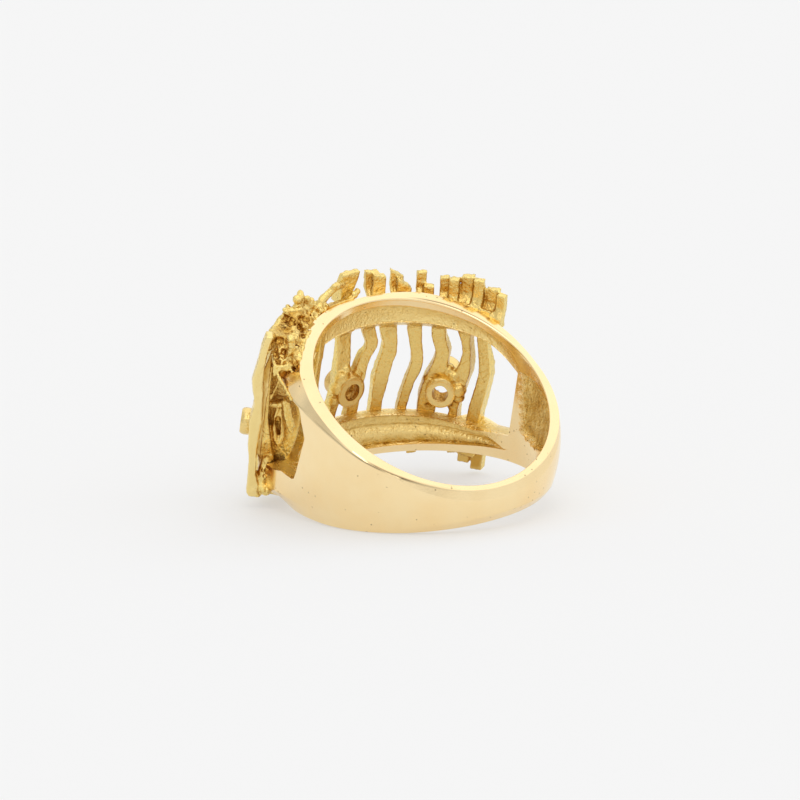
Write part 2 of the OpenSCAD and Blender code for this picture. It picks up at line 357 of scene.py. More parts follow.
band = {
    "holeR": 9.0,
    "railR": 10.2,
    "rimRound": 0.12,
    "halfWidth": 4.54,  # of the band, beside the finger axis
    "widening": 0.3033,
    "wideningBend": -0.00247,
    "outsideR": 10.5,
    "outsideShift": 0.6,
    "headDrop": 0.5,
    "shoulderFall": 0.0191,
    "shoulderEnd": 6.2,
    "shoulderFrom": 0.6,  # radians from the head
    "crown": [  # angle, how round the wall is on the plain halves and on the upper left half
        (0, 0.0, 0.0), (52, 0.0, 0.0), (60, 0.02, 0.02), (66, 0.02, 0.02), (77, 0.0546, 0.03),
        (90, 0.0952, 0.035), (105, 0.0952, 0.04), (118, 0.0952, 0.06), (132, 0.0952, 0.0952),
        (180, 0.0952, 0.0952)
    ],
    "radiusSteps": 12,
    "creaseLine": [  # angle, height of the crease on the upper left half
        (66, 4.42), (70, 4.16), (74, 4.07), (79, 4.06), (84, 4.03), (91, 3.92), (97, 3.76), (103, 3.57),
        (108, 3.32), (113, 3.1), (118, 2.92), (123, 2.74), (128, 2.56)
    ],
    "creaseJoin": (60, 128, 134),  # angles where the crease line starts, ends and has run out
    "facetPoint": (4.68, 8.72, 5.77),
    "facetNormal": (-0.134, 0.718, 0.683),
    "facetEnd": 106,  # beyond it the crease runs beside the rim
    "creaseStart": 4.0,
    "creaseSteps": 20,
    "creaseGap": 0.25,  # the least drop from the rim to the crease
    "headDropEnds": (34, 50),
    "creaseDrop": [
        (106, 0.3), (114, 0.28), (121, 0.26), (129, 0.27), (134, 0.4), (147, 0.55), (156, 0.62), (180, 0.68)
    ],
    "rimEdge": [  # angle, radius, drop below the rim
        (-180, 9.48, 0), (-156, 9.55, 0), (-138, 9.68, 0.02), (-121, 9.8, 0.1), (-104, 9.75, 0.12),
        (-90, 9.62, 0.1), (-80, 9.62, 0.06), (-70, 9.7, 0.03), (-60, 9.82, 0), (-40, 9.92, 0),
        (-30, 9.86, 0), (-20, 9.68, 0), (-10, 9.52, 0), (0, 9.53, 0), (10, 9.6, 0), (20, 9.8, 0),
        (30, 9.95, 0), (50, 9.95, 0.05), (60, 10.03, 0.12), (64, 10.12, 0.12), (74, 10.06, 0.12),
        (79, 10.09, 0.12), (84, 10.06, 0.12), (88.5, 10.01, 0.12), (96, 10.0, 0.12), (102, 10.01, 0.13),
        (108, 9.99, 0.16), (113, 9.95, 0.16), (118, 9.9, 0.14), (123, 9.85, 0.1), (129, 9.77, 0.07),
        (138, 9.66, 0.02), (147, 9.57, 0), (156, 9.53, 0), (166, 9.5, 0), (180, 9.48, 0)
    ],
    "lipWidth": [  # angle, above and below the window
        (0, 0.58, 0.64), (30, 0.62, 0.64), (39, 0.6, 0.65), (57, 0.51, 0.68), (72, 0.6, 0.82),
        (85, 0.92, 0.92), (180, 0.92, 0.92)
    ],
    "ridge": [  # angle, height of the lower rail's ridge
        (0, 3.55), (66, 3.76), (74, 3.83), (83, 3.97), (95, 3.2), (130, 1.7), (180, 0.6)
    ],
    "channelDepth": 0.30,
    "channelBelly": 0.12,
    "channelFade": (66, 86),  # angles
    "stripDepth": 0.75,  # of the channel's depth at the window's edge
    "stripRough": 0.8,
    "lowerFloor": [  # share of the way down the lower channel, extra depth, painted shade in its grooves
        (0, 0.0, 0.1), (0.055, 0.2, 0.85), (0.125, 0.22, 0.5), (0.34, 0.25, 0.35), (0.39, 0.34, 0.75),
        (0.45, 0.36, 0.1), (0.52, 0.2, 0.0), (0.6, 0.1, 0.0), (0.67, 0.04, 0.0), (0.75, 0.02, 0.45),
        (0.84, 0.0, 0.8), (0.94, 0.0, 1.0), (1, 0.05, 1.0)
    ],
    "stepWidth": (0.3, 0.07),  # of the step up to the lip, above and below the window
    "stepShares": (0.35, 0.7, 1.0),
    "stepCurve": 0.3,
    # painted shade: dark lines along the lower channel's grooves and the step up to its lip
    "stepShade": 0.9,
    "creviceShade": 0.8,
    "creviceShadeLumps": [(0.6, 0.5, 4)],  # depth, size and seed of the grain, here and below
    "castLumps": [(0.035, 0.8, 1), (0.02, 0.35, 2)],
    "ripple": 0.026,
    "ripples": 8,  # a turn for each degree, so they come out uneven
    "rimShares": (0.17, 0.34, 0.5, 0.66),
    "rimBulge": 0.03,
    "facetShares": (0.35, 0.45, 0.55, 0.65),
    "lineShare": 0.3,  # the most of a facet that a dark line takes
    "wallLineShare": 0.1,
    "leastRim": 0.2,
    "leastWall": 0.1,
    "lineWidth": 0.15,
    "creaseTone": [  # angle and darkness of a painted dark line, here and below: painted shade along the crease, the rim's inner corner and the rim's outer edge
        (58, 0.0), (66, 0.12), (80, 0.3), (100, 0.4), (108, 0.65), (115, 0.95), (122, 1.0), (126, 0.0)
    ],
    "innerTone": [(-78, 0.0), (-62, 0.6), (-45, 0.9), (-32, 0.8), (-22, 0.0)],
    "rimTone": [(114, 0.0), (120, 0.9), (133, 1.0), (141, 0.5), (152, 0.15), (165, 0.0)],
    "leftWindow": 83.0,  # angles where the windows end
    "rightWindow": -84.0,
    "insideRun": (25, 0.55),  # degrees in which a window's edge runs on to this share of the rim's height
    "outsideRun": (30, 0.5),
    "edgeGap": 0.3,
    "ridgeGap": 0.05,
    "lipGap": 0.2,
    "ridgeStep": 0.1,
    "creaseRoom": 0.03,
    "backFrom": 132,
    "fineStep": 0.8,  # degrees
    "coarseStep": 1.5,
    "points": {"strip": 4, "channel": 27, "lip": 7, "corner": 5, "outside": 9, "middle": 31, "wall": 6},
    # painted shade in the middle of the window walls
    "wallTone": 0.3,
    "weld": 0.0015,
    "sharpAngle": 34
}
# window edges by angle: lower and upper, on the inside and on the outside
windowInside = [
    # angle, low, high
    (-84, -2.6, 3.0), (-72, -3.3, 3.7), (-62.9, -3.75, 4.2), (-38.9, -3.6, 4.62), (0, -3.6, 4.75),
    (34.7, -3.35, 4.7), (55.5, -2.75, 3.7), (69.9, -2.6, 2.9), (75.2, -1.9, 2.6), (81, 2.1, 2.3),
    (83, 2.12, 2.28)
]
windowOutside = [
    (-84, -2.5, 2.9), (-70, -3.45, 3.55), (-55, -3.6, 3.8), (-20, -3.6, 3.85), (10, -3.6, 3.95),
    (35, -3.4, 4.4), (58, -3.0, 4.6), (65, -2.63, 4.5), (69.7, -2.14, 4.4), (73.8, -2.05, 4.3),
    (77.4, -1.95, 3.6), (79.1, -1.76, 3.1), (80.8, -0.87, 2.75), (82.5, 0.94, 2.3), (83, 2.0, 2.2)
]
shoulderHollow = {
    "outline": [  # x towards the head, height
        (0.74, 3.2), (-0.1, -1.56), (-2.3, -1.65), (-4.6, -0.5), (-5.4, 2.0), (-3.8, 3.0), (-1.25, 3.3)
    ],
    "from": 83,  # degrees from the head
    "depth": 0.5,
    "edge": (-0.06, 0.16),
    "lumps": [(0.12, 1.1, 3), (0.08, 0.45, 5), (0.03, 0.2, 8)],
    # the recess is darkened unevenly: painted shade
    "tone": 0.45,
    "toneLumps": [(1.2, 1.3, 6)]
}


def rimHeight(x):
    return band["halfWidth"] + band["widening"] * x + band["wideningBend"] * x * x


def outsideRadius(angle):
    a = math.radians(abs(angle))
    shift = band["outsideShift"]
    r = shift * math.cos(a) + math.sqrt(band["outsideR"] ** 2 - (shift * math.sin(a)) ** 2)
    if r * math.cos(a) <= shift:
        return r
    for _ in range(band["radiusSteps"]):
        y = band["outsideR"] - band["shoulderFall"] * (r * math.cos(a) - shift) ** 2
        r = y / math.sin(a) if a > band["shoulderFrom"] else math.inf
    atEnd = band["shoulderEnd"] / math.cos(a)
    return max(band["railR"], min(r, atEnd))


def crownAt(angle, side):
    return along(band["crown"], abs(angle), 2 if side > 0 and angle > 0 else 1)


def creasePoint(angle, side):
    a = abs(angle)
    cosine, sine = math.cos(math.radians(a)), math.sin(math.radians(a))
    wide = outsideRadius(a)
    crown = crownAt(angle, side)
    start, end, gone = band["creaseJoin"]
    if side > 0 and start < angle < gone:
        plain = creasePoint(-angle, side)[1]
        share = smoothStep(angle, start, band["creaseLine"][0][0]) * (1 - smoothStep(angle, end, gone))
        z = plain + float(share) * (along(band["creaseLine"], angle) - plain)
        return wide - crown * z * z / 2, z
    if a >= band["facetEnd"]:
        z = rimHeight(wide * cosine) - along(band["creaseDrop"], a)
        return wide - crown * z * z / 2, z
    nx, ny, nz = band["facetNormal"]
    px, py, pz = band["facetPoint"]
    drop = band["creaseGap"], band["headDrop"] * (1 - float(smoothStep(a, *band["headDropEnds"])))
    z = band["creaseStart"]
    for _ in range(band["creaseSteps"]):
        r = wide - crown * z * z / 2
        z = pz - (nx * (r * cosine - px) + ny * (r * sine - py)) / nz
        z = min(z, rimHeight(r * cosine) - drop[0] - drop[1])
    return wide - crown * z * z / 2, z


def hollowAmount(angle, z):
    # 1 well inside the hollow's outline, 0 outside it
    x = band["holeR"] * math.cos(math.radians(angle))
    inside = False
    nearest = math.inf
    outline = shoulderHollow["outline"]
    for (x1, z1), (x2, z2) in zip(outline, outline[1:] + outline[:1]):
        if (z1 > z) != (z2 > z) and x < x1 + (z - z1) / (z2 - z1) * (x2 - x1):
            inside = not inside
        dx, dz = x2 - x1, z2 - z1
        t = min(1.0, max(0.0, ((x - x1) * dx + (z - z1) * dz) / (dx * dx + dz * dz)))
        nearest = min(nearest, math.hypot(x - x1 - t * dx, z - z1 - t * dz))
    return float(smoothStep(nearest if inside else -nearest, *shoulderHollow["edge"]))


class Skin:
    # grids of points that share their borders, sewn into one mesh

    def __init__(self):
        self.bm = bmesh.new()
        self.rough = self.bm.verts.layers.float.new("castRough")
        self.hollow = self.bm.verts.layers.float.new("hollow")
        self.line = self.bm.verts.layers.float.new("paintedShadeLine")

    def grid(self, columns, flip=False):
        # columns: lists of (point, rough, hollow) and perhaps dark line, all the same length
        made = []
        for column in columns:
            row = []
            for point, rough, hollow, *line in column:
                vert = self.bm.verts.new(point)
                vert[self.rough] = rough
                vert[self.hollow] = hollow
                vert[self.line] = line[0] if line else 0.0
                row.append(vert)
            made.append(row)
        for left, right in zip(made, made[1:]):
            for low in range(len(left) - 1):
                corners = [left[low], right[low], right[low + 1], left[low + 1]]
                self.bm.faces.new(corners[::-1] if flip else corners)

    def mesh(self, name, weld):
        bmesh.ops.remove_doubles(self.bm, verts=self.bm.verts, dist=weld)
        bmesh.ops.dissolve_degenerate(self.bm, edges=self.bm.edges, dist=weld)
        bmesh.ops.recalc_face_normals(self.bm, faces=self.bm.faces)
        mesh = bpy.data.meshes.new(name)
        self.bm.to_mesh(mesh)
        self.bm.free()
        return mesh


def edgeHeight(table, angle, side, run, full):
    # the window's edge, and behind the windows a line that runs on from it
    column = 2 if side > 0 else 1
    if band["rightWindow"] <= angle <= band["leftWindow"]:
        return side * along(table, angle, column)
    nearEnd = band["leftWindow"] if angle > 0 else band["rightWindow"]
    start = side * along(table, nearEnd, column)
    share = smoothStep(abs(angle), abs(nearEnd), abs(nearEnd) + run)
    return float(start + (full - start) * share)


def insideLevels(angle, side):
    # heights of window edge, ridge, lip line and rim inside one rail, counted from the middle of the band
    rim = rimHeight(band["holeR"] * math.cos(math.radians(angle)))
    lip = rim - along(band["lipWidth"], abs(angle), 1 if side > 0 else 2)
    run, share = band["insideRun"]
    edge = min(edgeHeight(windowInside, angle, side, run, share * rim), lip - band["edgeGap"])
    ridge = edge + band["ridgeGap"]
    if side < 0:
        ridge = max(ridge, along(band["ridge"], abs(angle)))
    lip = max(lip, edge + band["lipGap"])
    return edge, min(ridge, lip - band["ridgeStep"]), lip, rim


def insidePoint(angle, r, z, extraRough=0.0, creviceShade=0.0):
    hollow = hollowAmount(angle, z) if abs(angle) > shoulderHollow["from"] else 0.0
    spot = polar(angle, r, z)
    if hollow > 0:
        r += hollow * (shoulderHollow["depth"] + lumpy(spot, shoulderHollow["lumps"]))
    if extraRough > 0:
        r += extraRough * lumpy(spot, band["castLumps"])
    # painted shade: the shoulder's recess is darker
    tone = shoulderHollow["tone"] * hollow * (1 + lumpy(spot, shoulderHollow["toneLumps"]))
    # painted shade for the lower channel's grooves and its step
    paintedShade = creviceShade * (band["creviceShade"] + lumpy(spot, band["creviceShadeLumps"]))
    return polar(angle, r, z), max(extraRough, hollow), tone + paintedShade


def shares(name):
    return np.linspace(0, 1, band["points"][name])


def insideColumn(angle, side):
    # from the window edge over the channel and the lip to the rim's inner corner
    edge, ridge, lip, rim = insideLevels(angle, side)
    hole = band["holeR"]
    opened = 1 - float(smoothStep(abs(angle), *band["channelFade"]))
    channel = band["channelDepth"] * opened
    points = []
    for t in shares("strip"):
        z = edge + t * (ridge - edge)
        depth = channel * (band["stripDepth"] + (1 - band["stripDepth"]) * t)
        points.append(insidePoint(angle, hole + depth, side * z, band["stripRough"] * opened))
    stepWidth = band["stepWidth"][0 if side > 0 else 1]
    for t in shares("channel")[1:]:
        z = ridge + t * (lip - stepWidth - ridge)
        if side > 0:
            belly, creviceShade = band["channelBelly"] * math.sin(math.pi * t), 0.0
        else:
            ripple = band["ripple"] * math.sin(band["ripples"] * angle) * math.sin(math.pi * t) ** 2
            # painted shade in the lower channel's grooves
            belly, creviceShade = along(band["lowerFloor"], t) + ripple, opened * along(band["lowerFloor"], t, 2)
        depth = opened * (band["channelDepth"] + belly)
        points.append(insidePoint(angle, hole + depth, side * z, opened, creviceShade))
    curve, stepShade = (band["stepCurve"], 0.0) if side > 0 else (0, band["stepShade"])
    for t in band["stepShares"]:
        z = lip - stepWidth * (1 - t)
        depth = channel * (1 - t) * (1 - curve * t)
        # painted shade at the step up to the lower lip
        creviceShade = stepShade * opened * (1 - t)
        points.append(insidePoint(angle, hole + depth, side * z, opened * (1 - t), creviceShade))
    top = rim - band["rimRound"]
    for t in shares("lip")[1:]:
        points.append(insidePoint(angle, hole, side * (lip + t * (top - lip))))
    return points


def rimColumn(angle, side):
    # rounded inner corner, bright rim and facet down to the crease
    cosine = math.cos(math.radians(angle))
    hole, corner = band["holeR"], band["rimRound"]
    holeRim, slope = rimHeight(hole * cosine), band["widening"] * cosine
    # painted shade lines along the rim's inner corner, its outer edge and the crease
    innerTone = along(band["innerTone"], angle) if side > 0 else 0.0
    rimTone, creaseTone = (along(band[name], angle * side) for name in ("rimTone", "creaseTone"))
    points = []
    for t in shares("corner"):
        turn = t * math.pi / 2
        r = hole + corner * (1 - math.cos(turn))
        z = holeRim - corner * (1 - math.sin(turn)) + slope * (r - hole) * t
        points.append((polar(angle, r, side * z), 0.0, 0.0, innerTone if t == 1 else 0.0))
    bandR, bandDrop = (along(band["rimEdge"], angle * side, column) for column in (1, 2))
    startR, startZ = hole + corner, holeRim + slope * corner
    endZ = rimHeight(bandR * cosine) - bandDrop
    nearEnd = 1 - band["lineWidth"] / max(band["leastRim"], bandR - startR)
    for t in (*band["rimShares"], nearEnd, 1.0):
        z = startZ + t * (endZ - startZ) + band["rimBulge"] * math.sin(math.pi * t)
        spot = polar(angle, startR + t * (bandR - startR), side * z)
        points.append((spot, 0.0, 0.0, rimTone if t == 1 else 0.0))
    creaseR, creaseZ = creasePoint(angle, side)
    lineShare = min(band["lineShare"], band["lineWidth"] / math.hypot(creaseR - bandR, creaseZ - endZ))
    for t in (lineShare, *band["facetShares"], 1 - lineShare, 1.0):
        spot = polar(angle, bandR + t * (creaseR - bandR), side * (endZ + t * (creaseZ - endZ)))
        points.append((spot, 0.0, 0.0, creaseTone if t == 1 else 0.0))
    return points


def outsideEdge(angle, side):
    creaseZ = creasePoint(angle, side)[1]
    run, share = band["outsideRun"]
    return min(edgeHeight(windowOutside, angle, side, run, share * creaseZ), creaseZ - band["creaseRoom"])


def outsidePoint(angle, z):
    r = outsideRadius(angle) - crownAt(angle, z) * z * z / 2
    return polar(angle, r, z), 0.0, 0.0


def outsideColumn(angle, side):
    creaseZ = creasePoint(angle, side)[1]
    edge = outsideEdge(angle, side)
    nearStart = min(band["wallLineShare"], band["lineWidth"] / max(band["leastWall"], creaseZ - edge))
    levels = [0.0, nearStart] + list(shares("outside")[1:])
    column = [outsidePoint(angle, side * (creaseZ + t * (edge - creaseZ))) for t in levels]
    # painted shade line along the crease
    column[0] += (along(band["creaseTone"], angle * side),)
    return column


def middleColumn(angle, outside):
    if outside:
        low, high = -outsideEdge(angle, -1), outsideEdge(angle, 1)
    else:
        low, high = -insideLevels(angle, -1)[0], insideLevels(angle, 1)[0]
    levels = [low + t * (high - low) for t in shares("middle")]
    return [outsidePoint(angle, z) if outside else insidePoint(angle, band["holeR"], z) for z in levels]


def wallColumn(inner, outer):
    made = []
    for t in shares("wall"):
        middle = math.sin(math.pi * t)
        spot = inner[0].lerp(outer[0], t)
        # painted shade: darker towards the middle of the wall
        made.append((spot, math.sqrt(max(0.0, middle)), band["wallTone"] * middle))
    return made


def buildBand():
    skin = Skin()
    right, left, back, fine = (band[name] for name in ("rightWindow", "leftWindow", "backFrom", "fineStep"))
    opened = list(np.linspace(right, left, int((left - right) / fine) + 1))
    nearLeft = list(np.arange(left, back, fine))
    nearRight = list(np.arange(360 - back, 360 + right, fine))
    behind = list(np.linspace(back, 360 - back, int((360 - 2 * back) / band["coarseStep"]) + 1))
    closed = nearLeft + behind + nearRight[1:] + [360 + right]
    closed = [a if a <= 180 else a - 360 for a in closed]
    for side in (1, -1):
        for angles in (opened, closed):
            for column in (insideColumn, rimColumn, outsideColumn):
                skin.grid([column(a, side) for a in angles], flip=side < 0)
        skin.grid([wallColumn(insideColumn(a, side)[0], outsideColumn(a, side)[-1]) for a in opened])
    for outside in (False, True):
        skin.grid([middleColumn(a, outside) for a in closed])
    for a in (left, right):
        pairs = zip(middleColumn(a, False), middleColumn(a, True))
        skin.grid([wallColumn(inner, outer) for inner, outer in pairs])
    mesh = skin.mesh("band", band["weld"])
    print("band:", len(mesh.vertices), "points,", len(mesh.polygons), "faces")
    return addPiece("band", mesh, polishedGold, band["sharpAngle"])


bandPiece = buildBand()
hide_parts("ring")


# bark bars: bent sticks across the two rails, with stepped ends past the rims

bars = [
    # from the head's left to its right, each with rows of height, left edge and right edge
    {"outer": 12.0, "inner": 9.1, "rows": [
        (6.4, 32, 26.5), (4.8, 33, 28), (2.2, 33.5, 28.2), (-0.6, 32, 27.5), (-3.5, 33, 28), (-6.6, 33, 28)
    ]},
    {"outer": 12.7, "inner": 11.1, "rows": [(6.2, 40, 35), (3.9, 46, 41), (1.0, 45, 40), (-6.6, 43.5, 38)]},
    {"outer": 11.0, "rows": [
        (6.2, 8.5, 2), (4.4, 8.1, 1.1), (3.0, 6.9, 0.2), (1.4, 5.7, -0.9), (0.3, 5.2, -1.2),
        (-1.0, 5.0, -1.1), (-1.9, 6.2, 0), (-2.6, 6.6, 2.6), (-3.6, 6.6, 3.6), (-6.6, 6.4, -1)
    ]},
    {"outer": 11.0, "rows": [
        (6.2, -4.4, -10.3), (4.3, -4.5, -10.3), (3.4, -6.4, -12), (2.5, -8.6, -13.6), (2.0, -8.6, -13.4),
        (1.3, -6.2, -11.4), (0.5, -4.8, -10.1), (-0.9, -4.5, -9.2), (-6.4, -1.5, -6.5)
    ]},
    {"outer": 11.0, "rows": [
        (6.2, -13, -20.8), (4.1, -13.1, -20.8), (3.0, -15.2, -21.8), (2.2, -16.8, -22.4),
        (1.4, -16.6, -22.8), (0.6, -15.3, -21.6), (-0.5, -14.6, -20.8), (-2.0, -14.4, -19.8),
        (-2.8, -14.5, -19.1), (-6.5, -13.5, -19)
    ]},
    {"outer": 11.0, "rows": [
        (6.2, -26.2, -32), (3.5, -26.3, -32.1), (2.4, -27.9, -32.9), (1.4, -29.4, -34), (0.6, -30, -34.6),
        (-0.2, -29.3, -34.1), (-1.2, -28.2, -32.1), (-2.4, -27.1, -30.8), (-3.5, -26.5, -30),
        (-6.5, -25.5, -30)
    ]},
    {"outer": 11.5, "rows": [
        (6.2, -36.2, -42), (4.0, -36.4, -42.1), (2.9, -37.1, -42.8), (1.7, -39.8, -45.3), (0.8, -39.3, -45),
        (0, -38.1, -45), (-1.3, -36, -44), (-2.5, -35.1, -42.5), (-6.4, -35.5, -42)
    ]},
    {"outer": 11.6, "rows": [
        (6.2, -46.8, -53), (3.9, -47.7, -53.2), (2.9, -50, -53.5), (2.0, -51.2, -54.3), (0.9, -50.4, -55),
        (0.2, -49, -55), (-1.0, -48.9, -53.8), (-2.9, -48.9, -52), (-6.3, -47.5, -53)
    ]},
    {"outer": 12.9, "inner": 10.75, "rows": [
        (8.75, 5.7, -2.6), (8.2, 5.6, -2.1), (7.3, 5.5, -0.7), (6.6, 5.3, 1.1), (6.0, 5, 1.6)
    ]},
    {"outer": 11.3, "rows": [
        (6.2, -55.8, -60.5), (3.4, -56.6, -60.8), (2.5, -57.9, -62.2), (1.5, -59, -63.6),
        (0.6, -59.5, -64.2), (-0.7, -58.7, -63.5), (-2.0, -57.6, -62.7), (-3.2, -56.9, -62),
        (-6.8, -56.5, -62)
    ]}
]
upperEnds = [
    # left and right top corner as angle and height, angles of the foot, inner and outer radius
    ((-6.4, 8.35), (-12, 8.3), (-8.4, -11.5), 11.0, 11.4),
    ((-8.8, 8.3), (-14.4, 8.05), (-8.9, -15.1), 10.45, 11.0),
    ((-17.3, 8.3), (-23, 7.65), (-18.3, -23), 11.0, 11.4),
    ((-19.6, 7.8), (-26, 6.95), (-20.5, -26.2), 10.45, 10.95),
    ((-28, 8.05), (-31.9, 8.1), (-28.9, -32.5), 11.0, 11.4),
    ((-31, 7.2), (-35.3, 7.2), (-31.2, -35.7), 10.45, 10.95),
    ((-37.3, 7.7), (-40.9, 7.8), (-38.2, -41.5), 11.0, 11.5),
    ((-41, 7.85), (-45, 8.0), (-41.8, -46.2), 10.5, 11.1),
    ((-45.8, 8.05), (-50.4, 8.2), (-46.6, -50.6), 11.0, 11.6),
    ((-50.8, 8.2), (-55, 8.3), (-51.6, -56.4), 10.6, 11.2),
    ((-56, 7.5), (-61.4, 7.7), (-57.2, -62.6), 11.0, 11.5),
    ((-61.2, 7.55), (-65, 7.55), (-62.1, -66.2), 10.6, 11.2)
]
lowerEnds = [
    # the same, and perhaps a foot height of its own
    ((-55, -7.6), (-60, -7.5), (-55, -60), 10.3, 11.2),
    ((-60, -8.3), (-64.8, -8.1), (-59.8, -64.8), 10.9, 11.7),
    ((-45, -6.9), (-50, -7.1), (-45, -50), 10.8, 11.9),
    ((-50, -7.2), (-54.4, -6.9), (-50, -54.4), 10.4, 11.4),
    ((-37, -7.1), (-42, -7.2), (-37, -42), 10.6, 11.8),
    ((-33, -7.8), (-37, -7.6), (-33, -37), 10.4, 11.0, -5.4),
    ((-25, -7.1), (-31, -7.3), (-25, -31), 10.6, 11.5),
    ((-13, -7.3), (-20, -7.0), (-13, -20), 10.4, 11.3),
    ((-1, -7.2), (-8, -7.1), (-1, -8), 10.5, 11.1),
    ((5, -7.0), (-0.5, -7.2), (5, -0.5), 10.3, 11.2),
    ((13, -6.9), (7, -7.1), (13, 7), 10.4, 11.2),
    ((33, -7.2), (27, -7.0), (33, 27), 10.6, 12.0),
    ((44.5, -7.0), (38, -7.1), (44, 38), 10.8, 12.4)
]
# bars on the left whose faces turn to the side: angle at each height, with inner and outer radius there
sideBars = [
    {"w": 0.95, "path": [
        # angle, height, inner radius, outer radius
        (56, 8.0, 12.2, 12.7), (56.5, 7.0, 12.45, 12.95), (57, 5.7, 12.6, 13.15), (57, 4.25, 12.6, 13.38),
        (57, 3.3, 12.5, 13.25), (57, 2.2, 12.45, 13.08), (57, 0.85, 12.33, 13.25), (57, -0.45, 12.4, 13.15),
        (57, -1.8, 12.45, 13.07), (57, -2.65, 12.4, 12.95), (57, -3.95, 12.3, 12.85),
        (57, -4.7, 12.05, 12.83), (57, -5.5, 11.95, 12.85), (57, -5.85, 12.1, 12.6)
    ]},
    {"w": 0.8, "path": [
        (52, 6.3, 11.6, 12.2), (53, 5.0, 11.9, 12.5), (54, 3.7, 11.95, 12.6), (54, 2.05, 11.9, 12.45),
        (54, 0.75, 11.85, 12.3), (54, -0.55, 11.6, 12.3), (53.5, -2.1, 11.25, 12.35), (53, -3.4, 10.9, 12.2),
        (53, -4.3, 10.8, 12.1), (52.5, -5.2, 11.0, 12.0)
    ]},
    {"w": 1.5, "path": [
        (46.5, 7.2, 10.4, 12.3), (46.5, 6.0, 9.9, 12.5), (46.5, 3.0, 9.6, 12.4), (46.5, 0.5, 9.45, 12.4),
        (47, -1.2, 9.5, 12.4), (47.5, -2.6, 9.8, 12.3), (47.5, -4.6, 10.1, 12.2), (47, -6.6, 10.2, 12.1)
    ]}
]
sticks = [
    # rods of the left cluster: radius, then angle, radius on the ring and height of each point
    (0.30, [(33, 11.0, 7.7), (36, 11.6, 7.6), (39, 12.1, 7.1), (43, 12.4, 6.5)]),
    (0.24, [(45, 12.4, 6.9), (50, 12.2, 7.0), (53, 12.3, 7.1)]),
    (0.31, [(19, 10.65, 7.3), (16, 10.6, 7.7), (13, 10.55, 8.05), (10, 10.6, 8.15), (6, 10.8, 7.95)]),
    (0.34, [(28.5, 11.45, 8.35), (29, 11.4, 7.8), (31, 11.4, 7.4), (31, 11.3, 6.7)]),
    (0.24, [(26.5, 11.0, 8.15), (26.5, 11.0, 7.5), (27, 10.9, 6.9)]),
    (0.27, [(23.5, 11.0, 7.7), (24, 10.9, 7.1), (24, 10.8, 6.6)]),
    (0.3, [(56, 10.86, 7.7), (56, 10.75, 7.07), (56, 10.85, 6.3), (56.5, 11.1, 5.5), (57, 11.3, 4.9)]),
    (0.11, [(59, 12.1, 6.6), (60, 11.8, 5.5), (63, 11.3, 4.75), (66, 11.0, 4.4), (70, 10.8, 4.1)]),
    (0.11, [(54, 11.34, 3.9), (54, 11.5, 3.2), (54, 11.84, 2.1)]),
    (0.27, [(53, 11.7, 1.6), (53, 10.75, 1.72)]),
    (0.20, [(55, 10.8, 2.2), (55, 10.5, 1.1), (55, 10.15, 0.05), (55, 10.0, -0.25)]),
    (0.17, [(55, 10.5, 2.0), (55, 10.2, 1.0), (55, 9.9, 0.2)]),
    (0.21, [(53, 11.2, 1.5), (53, 11.35, 0.5), (53, 11.3, -0.4), (53, 11.05, -1.5), (53, 10.85, -1.85)]),
    (0.19, [(53, 10.93, 1.25), (53, 10.82, 0.3), (53, 10.62, -0.95), (53, 10.75, -1.7)]),
    (0.5, [(57.5, 12.25, -5.25), (57, 11.7, -5.1), (57.5, 11.4, -5.3)]),
    (0.48, [(56.5, 11.9, -5.0), (55.8, 11.7, -4.2), (54.8, 11.6, -3.0)])
]
cupRods = [
    # three rods that carry the right collet's cup in front of the bars
    (0.26, [(-44, 10.5, -0.72), (-44, 11.6, -0.78), (-44, 12.5, -0.8)]),
    (0.24, [(-49.2, 10.5, -1.6), (-48.9, 11.6, -1.6), (-48.2, 12.5, -1.6)]),
    (0.24, [(-38.8, 10.5, -1.6), (-39.1, 11.6, -1.6), (-39.8, 12.5, -1.6)])
]
barkBalls = [
    # angle, height, radius on the ring, ball radius
    (12.8, 8.35, 10.45, 0.26), (28, 8.5, 11.55, 0.3), (30.5, 8.25, 11.5, 0.36), (31, 7.6, 11.4, 0.4),
    (25.5, 7.6, 10.9, 0.36), (28, 7.3, 11.2, 0.45), (34, 7.2, 11.3, 0.5),
    (52, 7.35, 12.25, 0.36), (50, 6.9, 12.2, 0.34), (54, 6.6, 12.4, 0.28), (56, 7.75, 10.86, 0.33),
    (0.8, 7.05, 10.35, 0.33), (2.5, 6.8, 10.35, 0.28), (-1, 7.2, 10.4, 0.24), (4, 6.6, 10.3, 0.3),
    (57.5, -5.7, 12.0, 0.32), (59.3, -5.2, 11.6, 0.2), (58.2, -4.1, 11.6, 0.16), (57.6, -3.6, 11.8, 0.14)
]
solderLumps = [
    # rough metal round the collets: angle, height, radius on the ring, size
    (3.6, 0.0, 10.15, 0.66), (5.6, -0.8, 10.1, 0.6), (1.0, 0.5, 10.3, 0.5), (6.2, -1.9, 10.15, 0.5),
    (-5.6, -0.2, 10.45, 0.5), (-45.5, 0.0, 10.6, 0.6), (-48.6, -0.3, 10.45, 0.6),
    (-42, 0.0, 10.55, 0.55), (-38.3, -0.9, 10.5, 0.5), (-51.4, -1.2, 10.2, 0.66),
    (-51.8, -1.9, 10.3, 0.5), (-38.2, -2.4, 10.55, 0.5), (-49.8, -2.9, 10.5, 0.45)
]
grains = {
    # small lumps strewn over the upper rail beside the left shoulder
    "count": 520,
    "seed": 7,
    "angles": (18, 61),
    "radii": (9.75, 12.0),
    "sink": 0.15,
    "fall": 0.9,
    "crest": 1.6,
    "jitter": (-0.25, 0.2),
    "size": (0.10, 0.2),
    "edgeGap": 0.1,
    "clearMarks": 2,  # the first marks below stay clear of them
    "clearShare": 0.5
}
